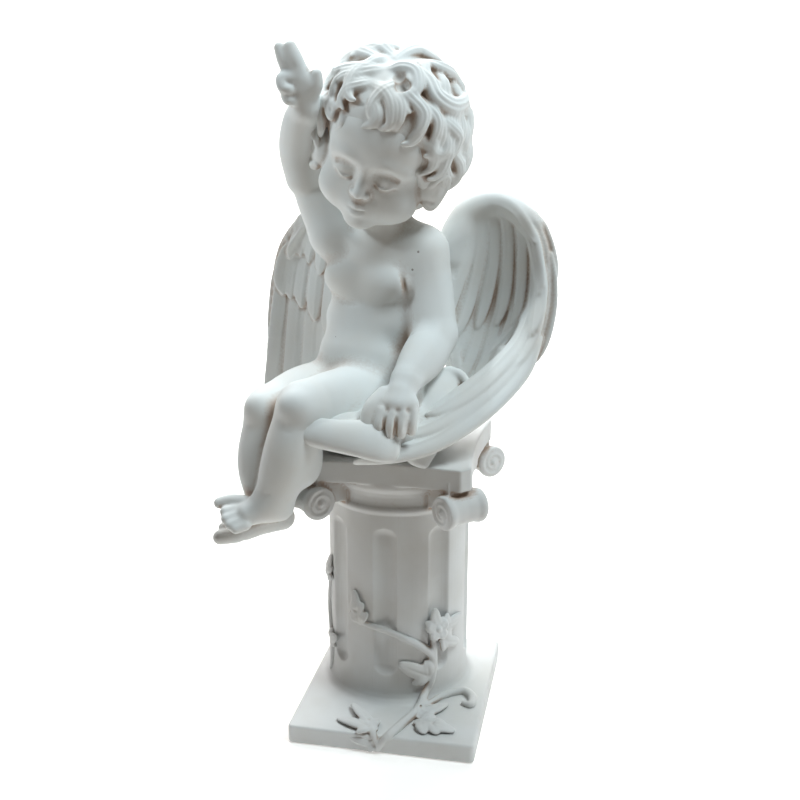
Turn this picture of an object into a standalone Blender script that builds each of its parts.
"""Cupid seated on a short Ionic column: two cast pieces, the figure and the column plinth.

Metres, +Z up. The origin is on the column's axis, at the underside of the plate. The front is -Y.
"""

import math

import bmesh
import bpy
from mathutils import Matrix, Vector, noise

# Plate under the column
PLATE_WIDTH = 0.0838
PLATE_DEPTH = 0.0945
PLATE_THICKNESS = 0.0087
PLATE_SHIFT = (0.0032, -0.0133)
PLATE_EDGE = 0.0009

# Fluted shaft
SHAFT_RADIUS = 0.0326
SHAFT_HEIGHT = 0.0935
FLUTE_COUNT = 8
FLUTE_WIDTH = 0.0118
FLUTE_DEPTH = 0.0028
FLUTE_MARGIN_BOTTOM = 0.0125
FLUTE_MARGIN_TOP = 0.0062

# Capital, from the neck ring up to the abacus
RING_OUT = 0.0010
RING_HEIGHT = 0.0026
NECK_HEIGHT = 0.0085
ECHINUS_OUT = 0.0036
ECHINUS_HEIGHT = 0.0032
ABACUS_SIDE = 0.0768
ABACUS_THICKNESS = 0.0104
ABACUS_HOLLOW = 0.0024
ABACUS_CHAMFER = 0.0042
SCROLL_RADIUS = 0.0076
SCROLL_LENGTH = 0.0198
SCROLL_REACH = 0.0475
SCROLL_DROP = 0.0012
SPIRAL_TURNS = 1.6
SPIRAL_RIDGE = 0.0007

# Vine on the plate and the shaft
STEM_RADIUS = 0.0014
LEAF_THICKNESS = 0.0018

# Figure, laid out in 172nds of its own height above the seat
FIGURE_HEIGHT = 0.1722
FIGURE_PARTS = 172.2
SEAT_GAP = 0.0003
CLOSE_GAP = 0.0006

# Fineness of the cast surface
VOXEL = 0.00125
FIGURE_TRIANGLES = 5200

NECK_RING_BASE = PLATE_THICKNESS + SHAFT_HEIGHT
ABACUS_BASE = NECK_RING_BASE + RING_HEIGHT + NECK_HEIGHT + ECHINUS_HEIGHT
SEAT = ABACUS_BASE + ABACUS_THICKNESS
UNIT = FIGURE_HEIGHT / FIGURE_PARTS
MERGE = 0.00001


def clear_scene():
    for old in list(bpy.data.objects):
        bpy.data.objects.remove(old)


def collection(name):
    made = bpy.data.collections.new(name)
    bpy.context.scene.collection.children.link(made)
    return made


def bisque(name, colour):
    material = bpy.data.materials.new(name)
    material.use_nodes = True
    shader = material.node_tree.nodes["Principled BSDF"]
    shader.inputs["Base Color"].default_value = (*colour, 1.0)
    shader.inputs["Roughness"].default_value = 0.62
    shader.inputs["Metallic"].default_value = 0.0
    return material


def mesh_object(name, mesh):
    made = bpy.data.objects.new(name, mesh)
    WORKSHOP.objects.link(made)
    return made


def from_bmesh(name, bm):
    bmesh.ops.recalc_face_normals(bm, faces=bm.faces)
    mesh = bpy.data.meshes.new(name)
    bm.to_mesh(mesh)
    bm.free()
    return mesh_object(name, mesh)


def evaluated_mesh(obj):
    """The object's mesh with its modifiers applied, in world space, and the object removed."""
    bpy.context.view_layer.update()
    graph = bpy.context.evaluated_depsgraph_get()
    mesh = bpy.data.meshes.new_from_object(obj.evaluated_get(graph))
    mesh.transform(obj.matrix_world)
    bpy.data.objects.remove(obj)
    return mesh


def as_mesh(obj):
    """A curve turned into a closed mesh object, its caps welded."""
    name = obj.name
    mesh = evaluated_mesh(obj)
    bm = bmesh.new()
    bm.from_mesh(mesh)
    bmesh.ops.remove_doubles(bm, verts=bm.verts, dist=MERGE)
    return from_bmesh(name, bm)


def joined(name, pieces):
    """Several mesh objects as one object of loose bodies."""
    bm = bmesh.new()
    for piece in pieces:
        bm.from_mesh(evaluated_mesh(piece))
    mesh = bpy.data.meshes.new(name)
    bm.to_mesh(mesh)
    bm.free()
    return mesh_object(name, mesh)


def boolean(target, operation, others):
    """Target with each of the others added to it or cut from it."""
    for other in others:
        step = target.modifiers.new(other.name, "BOOLEAN")
        step.operation = operation
        step.solver = "EXACT"
        step.object = other
        name = target.name
        target = mesh_object(name, evaluated_mesh(target))
        bpy.data.objects.remove(other)
    return target


def box(name, low, high):
    size = Vector(high) - Vector(low)
    bm = bmesh.new()
    bmesh.ops.create_cube(bm, size=1.0)
    bmesh.ops.scale(bm, vec=size, verts=bm.verts)
    bmesh.ops.translate(bm, vec=(Vector(high) + Vector(low)) / 2, verts=bm.verts)
    return from_bmesh(name, bm)


def turned(name, profile, steps):
    """A closed turned solid from (radius, height) pairs, top first, ending on the axis at both ends."""
    bm = bmesh.new()
    points = [bm.verts.new((radius, 0.0, height)) for radius, height in profile]
    for upper, lower in zip(points, points[1:]):
        bm.edges.new((upper, lower))
    mesh = bpy.data.meshes.new(name)
    bm.to_mesh(mesh)
    bm.free()
    made = mesh_object(name, mesh)
    screw = made.modifiers.new("Turn", "SCREW")
    screw.steps = screw.render_steps = steps
    screw.use_merge_vertices = True
    screw.merge_threshold = MERGE
    return made


def curve(name, points, radius, sides=2):
    """A round tube through (point, radius factor) pairs, with filled caps."""
    data = bpy.data.curves.new(name, "CURVE")
    data.dimensions = "3D"
    data.bevel_depth = radius
    data.bevel_resolution = sides
    data.use_fill_caps = True
    spline = data.splines.new("POLY")
    spline.points.add(len(points) - 1)
    for slot, (place, factor) in zip(spline.points, points):
        slot.co = (*place, 1.0)
        slot.radius = factor
    made = bpy.data.objects.new(name, data)
    WORKSHOP.objects.link(made)
    return as_mesh(made)


def between(stops, t):
    """The value at t from 0 to 1 on a smooth line through the stops, which are Vectors of any length."""
    spans = len(stops) - 1
    place = min(max(t, 0.0), 1.0) * spans
    i = min(int(place), spans - 1)
    u = place - i
    a, b = stops[max(i - 1, 0)], stops[i]
    c, d = stops[i + 1], stops[min(i + 2, spans)]
    return 0.5 * (2 * b + (c - a) * u + (2 * a - 5 * b + 4 * c - d) * u**2 + (3 * b - a - 3 * c + d) * u**3)


# The column plinth


def plate():
    x, y = PLATE_SHIFT
    low = (x - PLATE_WIDTH / 2, y - PLATE_DEPTH / 2, 0.0)
    high = (x + PLATE_WIDTH / 2, y + PLATE_DEPTH / 2, PLATE_THICKNESS)
    made = box("plate", low, high)
    bevel = made.modifiers.new("Edge", "BEVEL")
    bevel.width = PLATE_EDGE
    bevel.segments = 1
    return made


def shaft_and_bell():
    """The shaft with its neck ring, the hollow neck and the echinus under the abacus."""
    ring_mid = NECK_RING_BASE + RING_HEIGHT / 2
    ring_top = NECK_RING_BASE + RING_HEIGHT
    neck_mid = ring_top + NECK_HEIGHT / 2
    echinus_base = ring_top + NECK_HEIGHT
    r = SHAFT_RADIUS
    profile = [
        (0.0, ABACUS_BASE + ABACUS_THICKNESS / 2),
        (r + ECHINUS_OUT, ABACUS_BASE + ABACUS_THICKNESS / 2),
        (r + ECHINUS_OUT, echinus_base + ECHINUS_HEIGHT / 2),
        (r + ECHINUS_OUT * 0.75, echinus_base),
        (r - ECHINUS_OUT * 0.05, neck_mid),
        (r, ring_top),
        (r + RING_OUT, ring_mid + RING_HEIGHT * 0.3),
        (r + RING_OUT, ring_mid - RING_HEIGHT * 0.3),
        (r, NECK_RING_BASE),
        (r, PLATE_THICKNESS / 2),
        (0.0, PLATE_THICKNESS / 2),
    ]
    return turned("shaft", profile, 40)


def flute_cutters():
    """Round-ended cutters whose footprint on the shaft is the flute's width."""
    radius = (FLUTE_WIDTH**2 / 4 + FLUTE_DEPTH**2) / (2 * FLUTE_DEPTH)
    axis = SHAFT_RADIUS - FLUTE_DEPTH + radius
    low = PLATE_THICKNESS + FLUTE_MARGIN_BOTTOM + FLUTE_WIDTH / 2
    high = NECK_RING_BASE - FLUTE_MARGIN_TOP - FLUTE_WIDTH / 2
    cap_reach = radius * 0.8
    made = []
    for i in range(FLUTE_COUNT):
        bm = bmesh.new()
        bmesh.ops.create_uvsphere(bm, u_segments=14, v_segments=6, radius=radius)
        for vert in bm.verts:
            end = high if vert.co.z > MERGE else low
            if abs(vert.co.z) <= MERGE:
                vert.co.z = 0.0
            vert.co.z = end + vert.co.z * cap_reach / radius
        upper = [v for v in bm.verts if v.co.z > (low + high) / 2]
        lower = [v for v in bm.verts if v.co.z <= (low + high) / 2]
        bmesh.ops.translate(bm, vec=(0.0, -axis, 0.0), verts=upper + lower)
        turn = Matrix.Rotation(i * math.tau / FLUTE_COUNT, 4, "Z")
        bmesh.ops.transform(bm, matrix=turn, verts=bm.verts)
        made.append(from_bmesh(f"flute_{i}", bm))
    return made


def abacus_outline(clearance=0.0, arc_steps=5):
    """The abacus from above: four sides hollowed by a shallow arc, and the corners cut."""
    half = ABACUS_SIDE / 2 + clearance
    reach = half - ABACUS_CHAMFER
    side = []
    for i in range(arc_steps + 1):
        along = -reach + 2 * reach * i / arc_steps
        hollow = ABACUS_HOLLOW * (1 - (along / reach) ** 2)
        side.append(Vector((along, -half + hollow)))
    points = []
    for quarter in range(4):
        turn = Matrix.Rotation(quarter * math.pi / 2, 2)
        points += [turn @ point for point in side]
    return points


def extruded(name, outline, base, top):
    """A flat outline with its thickness, from base to top."""
    data = bpy.data.curves.new(name, "CURVE")
    data.dimensions = "2D"
    data.fill_mode = "BOTH"
    data.extrude = (top - base) / 2
    spline = data.splines.new("POLY")
    spline.points.add(len(outline) - 1)
    for slot, place in zip(spline.points, outline):
        slot.co = (place.x, place.y, 0.0, 1.0)
    spline.use_cyclic_u = True
    made = bpy.data.objects.new(name, data)
    WORKSHOP.objects.link(made)
    made.location.z = (base + top) / 2
    return as_mesh(made)


def to_corner(index):
    """The turn that takes the front of the capital to one of its corners."""
    return Matrix.Rotation(math.pi / 4 + index * math.pi / 2, 4, "Z")


def drum(index, clearance=0.0):
    """A drum across the diagonal at the front of the capital, not yet turned to its corner."""
    radius = SCROLL_RADIUS + clearance
    height = ABACUS_BASE - SCROLL_DROP - SCROLL_RADIUS
    depth = SCROLL_LENGTH + 2 * clearance
    bm = bmesh.new()
    bmesh.ops.create_cone(bm, cap_ends=True, segments=16, radius1=radius, radius2=radius, depth=depth)
    bmesh.ops.rotate(bm, matrix=Matrix.Rotation(math.pi / 2, 3, "Y"), verts=bm.verts)
    bmesh.ops.translate(bm, vec=(0.0, -SCROLL_REACH, height), verts=bm.verts)
    return from_bmesh(f"drum_{index}", bm)


def scroll(index):
    """One corner scroll: a drum across the diagonal, a spiral on each end, and its web to the bell."""
    height = ABACUS_BASE - SCROLL_DROP - SCROLL_RADIUS
    web_half = SCROLL_LENGTH * 0.33
    web = box(
        f"web_{index}",
        (-web_half, -SCROLL_REACH, height - SCROLL_RADIUS * 0.35),
        (web_half, -SHAFT_RADIUS * 0.8, ABACUS_BASE + ABACUS_THICKNESS * 0.4),
    )
    ridges = []
    for side in (-1, 1):
        points = []
        steps = 13
        for step in range(steps + 1):
            share = step / steps
            radius = SCROLL_RADIUS * (0.93 - 0.75 * share)
            angle = math.pi / 2 + side * share * SPIRAL_TURNS * math.tau
            place = Vector(
                (
                    side * (SCROLL_LENGTH / 2 - SPIRAL_RIDGE * 0.31),
                    -SCROLL_REACH + radius * math.cos(angle),
                    height + radius * math.sin(angle),
                )
            )
            points.append((place, 1.0))
        ridges.append(curve(f"spiral_{index}_{side}", points, SPIRAL_RIDGE, 1))
    made = boolean(drum(index), "UNION", [*ridges, web])
    made.data.transform(to_corner(index))
    return made


def room_for_scrolls():
    """The scrolls and the block behind each, grown by the gap that the figure keeps from them."""
    made = []
    half = SCROLL_LENGTH / 2 + CLOSE_GAP
    for index in range(4):
        block = box(
            f"room_{index}",
            (-half, -SCROLL_REACH - CLOSE_GAP, ABACUS_BASE - SCROLL_RADIUS * 2),
            (half, -SHAFT_RADIUS * 0.8, ABACUS_BASE + ABACUS_THICKNESS * 0.4),
        )
        for piece in (drum(index, SPIRAL_RIDGE + CLOSE_GAP), block):
            piece.data.transform(to_corner(index))
            made.append(piece)
    return made


def on_shaft(angle, height, out=0.0):
    """A point on the shaft: the angle in degrees from the front towards +X, and the height."""
    a = math.radians(angle)
    reach = SHAFT_RADIUS + out
    return Vector((reach * math.sin(a), -reach * math.cos(a), height))


def leaf(name, base, tip, up, width, lobes=3):
    """A lobed leaf from base to tip, domed towards up, thick enough to sit in what it grows on."""
    along = tip - base
    side = along.cross(up).normalized()
    out = side.cross(along).normalized()
    stations = 2 * lobes + 1
    bm = bmesh.new()
    rings = []
    for i in range(stations + 1):
        share = i / stations
        lobe = 0.78 + 0.22 * math.cos(i * math.pi)
        half = width / 2 * math.sin(math.pi * min(0.06 + share * 0.92, 1.0)) ** 0.6 * lobe
        middle = base + along * share + out * (LEAF_THICKNESS * math.sin(math.pi * share) * 0.8)
        rings.append(
            [
                bm.verts.new(middle + side * half - out * LEAF_THICKNESS * 0.3),
                bm.verts.new(middle + out * LEAF_THICKNESS * 0.55),
                bm.verts.new(middle - side * half - out * LEAF_THICKNESS * 0.3),
                bm.verts.new(middle - out * LEAF_THICKNESS * 0.9),
            ]
        )
    close_rings(bm, rings)
    return from_bmesh(name, bm)


def close_rings(bm, rings):
    """Faces between neighbouring rings of points, and a cap on each end."""
    count = len(rings[0])
    for first, second in zip(rings, rings[1:]):
        for i in range(count):
            j = (i + 1) % count
            bm.faces.new((first[i], first[j], second[j], second[i]))
    bm.faces.new(list(reversed(rings[0])))
    bm.faces.new(rings[-1])


def vine():
    """Stems that climb from the plate's front edge up the shaft, with leaves and one flower."""
    top = PLATE_THICKNESS
    front = PLATE_SHIFT[1] - PLATE_DEPTH / 2
    root = Vector((0.0022, front - 0.0002, top * 0.3))
    over_edge = Vector((0.0072, front + 0.0002, top + 0.0002))
    main_stem = [
        root,
        over_edge,
        Vector((0.0131, -0.0472, top + 0.0006)),
        Vector((0.0165, -0.0365, top + 0.0008)),
        on_shaft(33, top + 0.0030, 0.0004),
        on_shaft(38, top + 0.0100),
        on_shaft(39.5, top + 0.0160),
        on_shaft(40, top + 0.0240),
        on_shaft(39, top + 0.0310),
        on_shaft(41, top + 0.0350),
    ]
    side_stem = [
        on_shaft(39.5, top + 0.0170),
        on_shaft(38, top + 0.0230),
        on_shaft(28, top + 0.0285),
        on_shaft(13, top + 0.0340),
        on_shaft(-4, top + 0.0380),
        on_shaft(-23, top + 0.0390),
    ]
    rear_stem = [
        on_shaft(-70, top - 0.001),
        on_shaft(-62, top + 0.018),
        on_shaft(-72, top + 0.036),
        on_shaft(-66, top + 0.052),
    ]
    made = []
    for name, stops in (("stem", main_stem), ("side_stem", side_stem), ("rear_stem", rear_stem)):
        steps = 12
        points = [(between(stops, i / steps), 1.15 - 0.45 * i / steps) for i in range(steps + 1)]
        made.append(curve(name, points, STEM_RADIUS, 1))
    up = Vector((0.0, 0.0, 1.0))
    ahead = Vector((0.0, -1.0, 0.4))
    lie = top + LEAF_THICKNESS * 0.35
    leaves = [
        ("leaf_side", on_shaft(-22, top + 0.037), on_shaft(-25, top + 0.0545), on_shaft(-24, 0), 0.0105, 3),
        ("leaf_middle", on_shaft(38, top + 0.0110), on_shaft(10, top + 0.0215), on_shaft(22, 0), 0.0120, 3),
        ("leaf_flower", on_shaft(44, top + 0.0350), on_shaft(58, top + 0.0430), on_shaft(52, 0), 0.0085, 2),
        ("leaf_beside", on_shaft(46, top + 0.0330), on_shaft(76, top + 0.0310), on_shaft(60, 0), 0.0110, 3),
        ("leaf_under", on_shaft(43, top + 0.0300), on_shaft(64, top + 0.0180), on_shaft(54, 0), 0.0080, 2),
        ("leaf_rear", on_shaft(-67, top + 0.050), on_shaft(-60, top + 0.064), on_shaft(-64, 0), 0.0090, 3),
        ("leaf_rear_low", on_shaft(-64, top + 0.02), on_shaft(-50, top + 0.024), on_shaft(-57, 0), 0.0085, 2),
        ("leaf_plate_right", Vector((0.0170, -0.0340, lie)), Vector((0.0375, -0.0230, lie)), up, 0.0105, 2),
        ("leaf_plate_front", Vector((0.0160, -0.0450, lie)), Vector((0.0345, -0.0495, lie)), up, 0.0125, 3),
        ("leaf_plate_left", Vector((0.0040, -0.0575, lie)), Vector((-0.0175, -0.0375, lie)), up, 0.0105, 2),
        ("leaf_corner", Vector((0.0015, -0.0580, lie)), Vector((-0.0195, -0.0515, lie)), up, 0.0100, 2),
        ("leaf_edge", root, Vector((-0.0125, front - 0.0001, top - 0.0020)), ahead, 0.0080, 2),
    ]
    for name, base, tip, facing, width, lobes in leaves:
        made.append(leaf(name, base, tip, facing.normalized(), width, lobes))
    return made + flower(on_shaft(42, top + 0.0370, 0.0012), on_shaft(42, 0))


def flower(centre, facing):
    """Five petals round a small eye."""
    out = Vector((facing.x, facing.y, 0.0)).normalized()
    side = out.cross(Vector((0.0, 0.0, 1.0)))
    up = Vector((0.0, 0.0, 1.0))
    petal_reach = 0.0036
    made = []
    for i in range(5):
        a = i * math.tau / 5 + 0.3
        place = centre + (side * math.cos(a) + up * math.sin(a)) * petal_reach
        made.append(ball(f"petal_{i}", place, (0.0026, 0.0026, 0.0026), segments=6))
    made.append(ball("flower_eye", centre + out * 0.0018, (0.0016, 0.0016, 0.0016), segments=8))
    return made


def ball(name, centre, radii, turn=None, segments=16):
    bm = bmesh.new()
    bmesh.ops.create_uvsphere(bm, u_segments=segments, v_segments=segments // 2 + 2, radius=1.0)
    bmesh.ops.scale(bm, vec=Vector(radii), verts=bm.verts)
    if turn is not None:
        bmesh.ops.rotate(bm, matrix=turn, verts=bm.verts)
    bmesh.ops.translate(bm, vec=Vector(centre), verts=bm.verts)
    return from_bmesh(name, bm)


def column_plinth():
    made = shaft_and_bell()
    made = boolean(made, "DIFFERENCE", flute_cutters())
    made.name = "column_plinth"
    made = boolean(made, "UNION", [plate()])
    made = boolean(made, "UNION", [extruded("abacus", abacus_outline(), ABACUS_BASE, SEAT)])
    for index in range(4):
        made = boolean(made, "UNION", [scroll(index)])
    return boolean(made, "UNION", vine())


# The cupid. Its points are in parts of its height, from the seat's centre


def at(x, y, z):
    return Vector((x * UNIT, y * UNIT, SEAT + z * UNIT))


def form(name, centre, radii, yaw=0.0):
    """A rounded mass of the body. Yaw in degrees turns it about the vertical, towards -X."""
    turn = Matrix.Rotation(math.radians(-yaw), 3, "Z")
    return ball(name, at(*centre), [r * UNIT for r in radii], turn)


def limb(name, stops, sides=2):
    """A tapering round limb through (x, y, z, radius) stops, with rounded ends."""
    joints = [Vector(stop) for stop in stops]
    steps = 4 * (len(joints) - 1)
    line = [between(joints, i / steps) for i in range(steps + 1)]
    points = [(at(*p[:3]), p[3]) for p in line]
    ends = [ball(f"{name}_end", at(*s[:3]), [s[3] * UNIT] * 3, segments=12) for s in (stops[0], stops[-1])]
    return [curve(name, points, UNIT, sides), *ends]


def torso():
    facing = 18.0
    made = [
        form("hips", (-15, 5, 19), (20.5, 17, 18), facing),
        form("belly", (-16.5, -1.5, 37), (18.5, 16, 18), facing),
        form("waist", (-14.5, 4, 52), (19, 14.5, 16), facing),
        form("ribs", (-12.5, 5, 68), (20.5, 14, 20), facing),
        form("flank_left", (2, 3, 54), (8.5, 11, 18), facing),
        form("breast_right", (-22.5, -3.5, 73), (9.5, 6, 7.5), facing),
        form("breast_left", (-5, -5, 72), (9.5, 6, 7.5), facing),
    ]
    made += limb("shoulders", [(9, 4.5, 84, 10), (-11, 7, 87, 10), (-30, 9, 90, 10.5)])
    made += limb("neck", [(-9, 7, 86, 12), (-7, 3, 103, 10.5)])
    return made


def legs():
    made = limb("thigh_left", [(-6, 0, 18, 16), (-20, -24, 23, 14), (-32.5, -43, 25.5, 11)])
    made += limb("shin_left", [(-32.5, -43, 25, 10.5), (-37, -47, 5, 12.8), (-45, -49.5, -14, 8)])
    sole_left = [(-42, -46, -18, 6), (-50, -53, -18.5, 6.3), (-57, -57.5, -21.5, 4.8), (-60, -59, -22.5, 3.8)]
    made += limb("foot_left", sole_left)
    big_toe = [(-56, -50, -17, 3.2), (-62, -51.5, -16.5, 2.2), (-68.5, -52, -18.5, 1.8)]
    made += limb("big_toe_left", big_toe, 1)
    made += limb("thigh_right", [(-26, 7, 18, 15.5), (-40, -12, 21, 13), (-51.8, -30, 18.5, 10.5)])
    made += limb("shin_right", [(-51.8, -30, 18, 10.2), (-53.7, -35, -3, 11), (-52, -38.5, -20, 8.3)])
    sole_right = [(-45, -35.5, -28.5, 6.2), (-54, -43, -29, 6.4), (-62, -50, -31.6, 5.6), (-67, -53, -32.4, 4)]
    made += limb("foot_right", sole_right)
    return made


def arms():
    made = limb("upper_arm_left", [(9.4, 4, 84, 11.3), (13.2, 1, 67, 10.6), (17.5, -6, 49.5, 9)])
    made += limb("forearm_left", [(17.5, -6, 49, 9.4), (13.5, -19, 42, 9.3), (9.6, -33, 36.5, 6.4)])
    made += limb("hand_left", [(9.4, -34, 35.5, 5.8), (8.8, -40.5, 29.5, 5.8)])
    made += limb("upper_arm_right", [(-30.6, 9, 91, 11.6), (-39, 12, 110, 10.8), (-45, 12, 129, 9)])
    made += limb("forearm_right", [(-45, 12, 129, 8.8), (-42, -1, 139, 8.6), (-36.8, -12, 147, 6.3)])
    made += limb("hand_right", [(-36.8, -12.5, 148, 5.8), (-37.5, -16, 157, 5.6)])
    for index, side in enumerate((-4.2, -1.4, 1.4, 4.2)):
        knuckle = (8.6 + side, -43.5 - 0.4 * index, 28, 2.3)
        finger = [knuckle, (7 + side, -45.5, 20, 2.2), (3.5 + side * 0.9, -42, 12.5, 1.9)]
        made += limb(f"finger_left_{index}", finger, 1)
    made += limb("thumb_left", [(4, -38, 33, 2.8), (-2, -43, 27.5, 2.3), (-6, -43.5, 24.5, 1.8)], 1)
    made += limb("index_right", [(-40.5, -17, 160, 3), (-43.5, -17.5, 165, 2.7), (-46, -17, 170.6, 2.4)], 1)
    made += limb("middle_right", [(-37.2, -18, 161, 3), (-39.3, -19, 166, 2.7), (-41, -19, 170.8, 2.4)], 1)
    made += limb("ring_right", [(-41.5, -19, 157, 2.5), (-45, -21, 157.5, 2.3), (-44, -21, 153, 2.0)], 1)
    little = [(-41, -17.5, 151.5, 2.4), (-44.5, -19.5, 151.5, 2.1), (-43, -19.5, 148.5, 1.9)]
    made += limb("little_right", little, 1)
    made += limb("thumb_right", [(-33, -15, 149, 3), (-29.5, -17, 155, 2.4), (-29, -18, 158, 2)], 1)
    return made


HEAD_CENTRE = (-4.8, 1.5, 133.5)
HEAD_YAW = 9.0
HEAD_PITCH = 15.5
HEAD_ROLL = 18.0
HAIR_CENTRE = (0, 3, 6)
HAIR_REACH = (28.5, 29.5, 29)


def head_turn():
    """Head axes as columns: the side to its left, backwards, and up."""
    yaw = Matrix.Rotation(math.radians(-HEAD_YAW), 3, "Z")
    pitch = Matrix.Rotation(math.radians(HEAD_PITCH), 3, "X")
    roll = Matrix.Rotation(math.radians(HEAD_ROLL), 3, "Y")
    return yaw @ pitch @ roll


def in_head(side, back, up):
    """A place given from the skull's centre along the head's own axes."""
    return Vector(HEAD_CENTRE) + head_turn() @ Vector((side, back, up))


def head_form(name, place, radii):
    return ball(name, at(*in_head(*place)), [r * UNIT for r in radii], head_turn())


def head():
    return [
        head_form("skull", (0, 1, 1), (26, 28, 27)),
        head_form("hair_mass", HAIR_CENTRE, HAIR_REACH),
        head_form("face", (0, -9, -13), (20.5, 17, 20)),
        head_form("cheek_left", (10, -16, -19), (9.5, 9, 9.5)),
        head_form("cheek_right", (-10, -16, -19), (9.5, 9, 9.5)),
        head_form("chin", (0, -22, -31), (6.5, 5.5, 5)),
        head_form("brow", (0, -18, 0), (15, 8.5, 9)),
        head_form("nose", (0, -28, -15), (2.8, 3.8, 3.2)),
        head_form("nose_bridge", (0, -26, -10), (1.8, 2.6, 5)),
        head_form("lips", (0, -25.5, -22.5), (4.6, 2.8, 2.6)),
        head_form("ear_right", (-25.5, 1, -10), (3, 4.5, 6.5)),
        head_form("ear_left", (25.5, 1, -10), (3, 4.5, 6.5)),
    ]


def bare_of_hair(way):
    """True where a direction from the skull's centre points at the face, an ear or the neck."""
    side, back, up = way
    face = back < -0.28 and up < 0.40 + 0.25 * abs(side)
    ear = side < -0.82 and abs(back) < 0.30 and up < -0.05
    neck = up < -0.82
    return face or ear or neck


CURL_COUNT = 60
CURL_TURN = 1.1


def curls():
    """Locks that curl over the skull: roots spread evenly, each lock a tightening spiral."""
    made = []
    golden = math.pi * (3 - math.sqrt(5))
    for i in range(CURL_COUNT):
        up = 1 - 2 * (i + 0.5) / CURL_COUNT
        ring = math.sqrt(1 - up * up)
        way = Vector((ring * math.cos(golden * i), ring * math.sin(golden * i), up))
        if bare_of_hair(way):
            continue
        down = (Vector((0.0, 0.0, -1.0)) - way * -way.z).normalized()
        flow = down if ring > 0.2 else Vector((0.0, -1.0, 0.0))
        across = way.cross(flow)
        size = 6.4 + 1.8 * noise.noise(way * 3.1)
        hand = 1 if noise.noise(way * 2.3 + Vector((7.0, 0.0, 0.0))) > 0 else -1
        start = noise.noise(way * 1.7) * 1.5
        stops = []
        for step in range(7):
            share = step / 6
            angle = start + hand * share * CURL_TURN * math.tau
            reach = size * (1.0 - 0.72 * share)
            lift = 2.6 * math.sin(math.pi * (0.15 + 0.7 * share))
            base = Vector(HAIR_CENTRE) + Vector([a * b for a, b in zip(way, HAIR_REACH)])
            place = base + way * lift + (flow * math.cos(angle) + across * math.sin(angle)) * reach
            stops.append((*in_head(*place), 3.1 - 1.2 * share))
        made += limb(f"curl_{i}", stops, 1)
    return made


def cloth():
    """The drapery: under the seat, rolled over the near thigh, and thrown up behind the hip."""
    made = [
        form("cloth_seat", (-12, -8, 4), (30, 27, 6.5)),
        form("cloth_hip", (14, -14, 14), (15, 20, 17)),
        form("cloth_lap", (0, -26, 22), (11, 15, 10)),
        form("cloth_thigh", (-14, -38, 12), (20, 11, 9)),
    ]
    roll = [(-36, -50, 18, 4.5), (-27, -54, 19, 6), (-14, -53, 17.5, 6.5), (-3, -48, 14, 5.5)]
    made += limb("cloth_roll", roll)
    made.append(form("cloth_flap", (20, -9, 24), (11, 12, 12)))
    made += limb("cloth_edge", [(18, -6, 34, 3), (27, -9, 35, 3), (30.5, -12, 25, 3.4), (28, -24, 12, 3)])
    return made


# Wing surfaces as rows of points, from the edge by the body out to the rim, top row first
WING_LEFT = (
    ((20.5, 22, 92), (26, 26, 102.5), (36, 26, 106), (48, 23, 103.5), (58, 17, 97.5)),
    ((17, 20, 76), (30, 25, 83), (43, 24.5, 87), (56, 18, 87), (66.8, 8, 81.5)),
    ((18, 18, 52), (33, 22, 57), (48, 18, 60), (59, 10, 61), (66, 3, 60)),
    ((23, 16, 32), (37, 14, 36), (47, 8, 37), (54, 1, 38), (58.3, -4.5, 39)),
    ((28, 13, 16), (39, 5, 21), (45, -5, 24), (45, -13, 26), (39.5, -22, 22.5)),
    ((30, 11, 8), (41, 0, 13), (43, -13, 17), (26, -32, 10), (-7, -46.5, 3.6)),
)
WING_RIGHT = (
    ((-23, 21, 82), (-33, 28, 95), (-41, 33, 99), (-47, 35, 97), (-53, 34, 92)),
    ((-28, 23, 68), (-40, 31, 75), (-50, 36, 78), (-59, 37, 76), (-66, 36, 70)),
    ((-31, 24, 45), (-43, 31, 49), (-54, 36, 50), (-63.5, 38, 48), (-71, 36, 43)),
    ((-32, 22, 28), (-44, 28, 29), (-55, 32, 28), (-65, 34, 26), (-73, 34, 21)),
    ((-32, 20, 16), (-44, 25, 14), (-55, 28, 12), (-66, 31, 10), (-74.5, 32, 6)),
    ((-31, 18, 7), (-43, 22, 3), (-54, 25, 0), (-65.5, 28, -3), (-75, 30, -7)),
)
FEATHERS = 8
TIERS = ((0.0, 1.0, 0.0, 1.5), (0.0, 0.56, 1.5, 1.4), (0.0, 0.27, 2.8, 1.5))


def wing_point(rows, s, b):
    across = [between([Vector(p) for p in row], s) for row in rows]
    return between(across, b)


def wing_frame(rows, s, b, outward):
    """Place, width direction and outward normal of the wing's surface."""
    step = 0.02
    place = wing_point(rows, s, b)
    width = (wing_point(rows, min(s + step, 1), b) - wing_point(rows, max(s - step, 0), b)).normalized()
    along = (wing_point(rows, s, min(b + step, 1)) - wing_point(rows, s, max(b - step, 0))).normalized()
    normal = width.cross(along).normalized() * outward
    return place, width, normal


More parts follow.
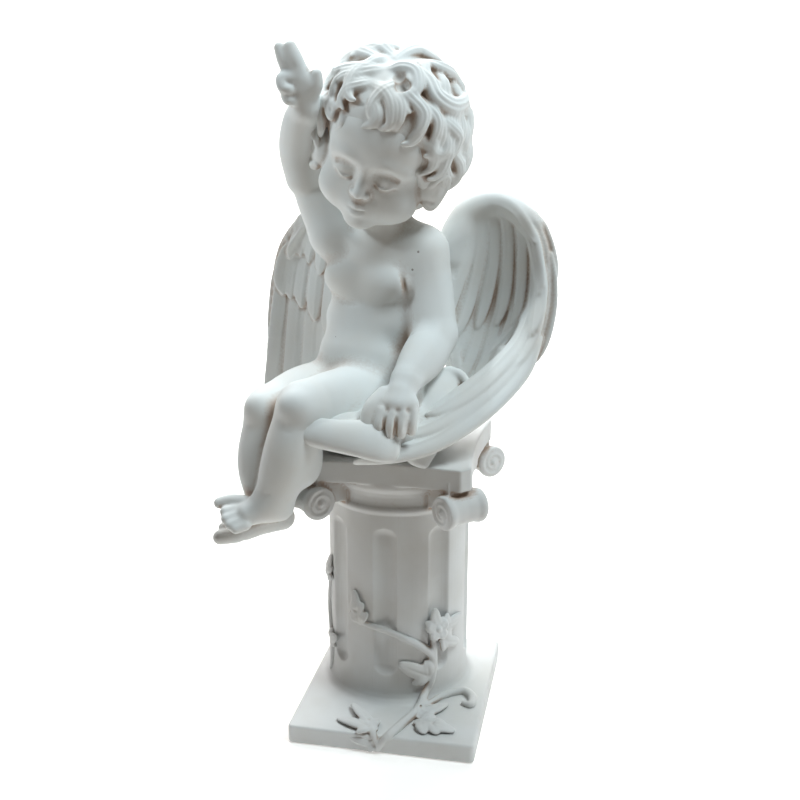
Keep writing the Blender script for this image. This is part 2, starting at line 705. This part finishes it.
def feather(name, rows, s, span, half_width, lift, thickness, outward):
    """A blade along the wing's surface: widest past its middle, with a round tip."""
    start, end = span
    stations = 9
    bm = bmesh.new()
    rings = []
    for i in range(stations + 1):
        share = i / stations
        place, width, normal = wing_frame(rows, s, start + (end - start) * share, outward)
        half = half_width * (0.72 + 0.28 * math.sin(math.pi * share)) * math.sqrt(max(1 - share**6, 0.02))
        middle = place + normal * (lift + 0.4 * share)
        ring = []
        for x, y in (
            (1.0, 0.0),
            (0.6, 0.75),
            (0.0, 1.0),
            (-0.6, 0.75),
            (-1.0, 0.0),
            (-0.6, -0.75),
            (0.0, -1.0),
            (0.6, -0.75),
        ):
            ring.append(bm.verts.new(at(*(middle + width * half * x + normal * thickness * y))))
        rings.append(ring)
    close_rings(bm, rings)
    return from_bmesh(name, bm)


def wing(name, rows, outward):
    """Tiers of feathers on both faces, and a thick rounded arm along the top."""
    made = []
    for tier, (start, end, lift, thickness) in enumerate(TIERS):
        faces = (0,) if tier == 0 else (1, -1)
        for face in faces:
            for i in range(FEATHERS):
                s = (i + (0.5 if tier % 2 else 0.65)) / (FEATHERS + 0.15)
                half = 4.0 if tier else 4.3
                label = f"{name}_{tier}_{face}_{i}"
                made.append(
                    feather(label, rows, s, (start, end), half, lift * face, thickness, outward)
                )
    arm = [(*wing_point(rows, i / 6, 0.03), 4.4 - 1.8 * abs(i / 6 - 0.4)) for i in range(7)]
    made += limb(f"{name}_arm", arm)
    root = wing_point(rows, 0.0, 0.1)
    made += limb(f"{name}_root", [(*root, 5), (root.x * 0.4 - 6, root.y * 0.65, root.z - 10, 7)])
    return made


def cupid():
    """All masses fused into one cast surface, trimmed flat where it sits on the abacus."""
    pieces = torso() + legs() + arms() + head() + curls() + cloth()
    pieces += wing("wing_left", WING_LEFT, 1)
    pieces += wing("wing_right", WING_RIGHT, -1)
    made = joined("cupid", pieces)
    remesh = made.modifiers.new("Cast", "REMESH")
    remesh.mode = "VOXEL"
    remesh.voxel_size = VOXEL
    smooth = made.modifiers.new("Soften", "SMOOTH")
    smooth.factor = 0.5
    smooth.iterations = 2
    made = mesh_object("cupid", evaluated_mesh(made))
    made = one_body(made)
    fewer = made.modifiers.new("Fewer faces", "DECIMATE")
    fewer.ratio = FIGURE_TRIANGLES / (2 * len(made.data.polygons))
    made = mesh_object("cupid", evaluated_mesh(made))
    seat = extruded("seat", abacus_outline(CLOSE_GAP), ABACUS_BASE - CLOSE_GAP, SEAT + SEAT_GAP)
    made = boolean(made, "DIFFERENCE", [seat, *room_for_scrolls()])
    return without_pinches(one_body(made))


def without_pinches(obj):
    """The mesh with each edge that more than two faces share drawn together to a point."""
    name = obj.name
    bm = bmesh.new()
    bm.from_mesh(evaluated_mesh(obj))
    bmesh.ops.remove_doubles(bm, verts=bm.verts, dist=MERGE)
    for _ in range(6):
        pinched = [edge for edge in bm.edges if len(edge.link_faces) != 2]
        around = {face for edge in pinched for vert in edge.verts for face in vert.link_faces}
        bmesh.ops.delete(bm, geom=list(around), context="FACES")
        loose = [vert for vert in bm.verts if not vert.link_faces]
        bmesh.ops.delete(bm, geom=loose, context="VERTS")
        rims = [edge for edge in bm.edges if len(edge.link_faces) < 2]
        filled = bmesh.ops.holes_fill(bm, edges=rims)
        bmesh.ops.triangulate(bm, faces=filled["faces"])
    return from_bmesh(name, bm)


def one_body(obj):
    """Keeps the largest connected body, in case a curl's tip or a hollow came loose."""
    bm = bmesh.new()
    bm.from_mesh(evaluated_mesh(obj))
    unseen = set(bm.verts)
    bodies = []
    while unseen:
        stack = [unseen.pop()]
        body = set(stack)
        while stack:
            for edge in stack.pop().link_edges:
                for vert in edge.verts:
                    if vert in unseen:
                        unseen.discard(vert)
                        body.add(vert)
                        stack.append(vert)
        bodies.append(body)
    largest = max(bodies, key=len)
    bmesh.ops.delete(bm, geom=[v for v in bm.verts if v not in largest], context="VERTS")
    return from_bmesh("cupid", bm)


def finish(obj, home, material):
    WORKSHOP.objects.unlink(obj)
    home.objects.link(obj)
    obj.data.materials.clear()
    obj.data.materials.append(material)
    obj.data.shade_smooth()
    obj.data.set_sharp_from_angle(angle=math.radians(35))


clear_scene()
HOME = collection("cupid_on_column")
WORKSHOP = collection("workshop")
WHITE = bisque("white_bisque", (0.80, 0.81, 0.79))
finish(column_plinth(), HOME, WHITE)
finish(cupid(), HOME, WHITE)
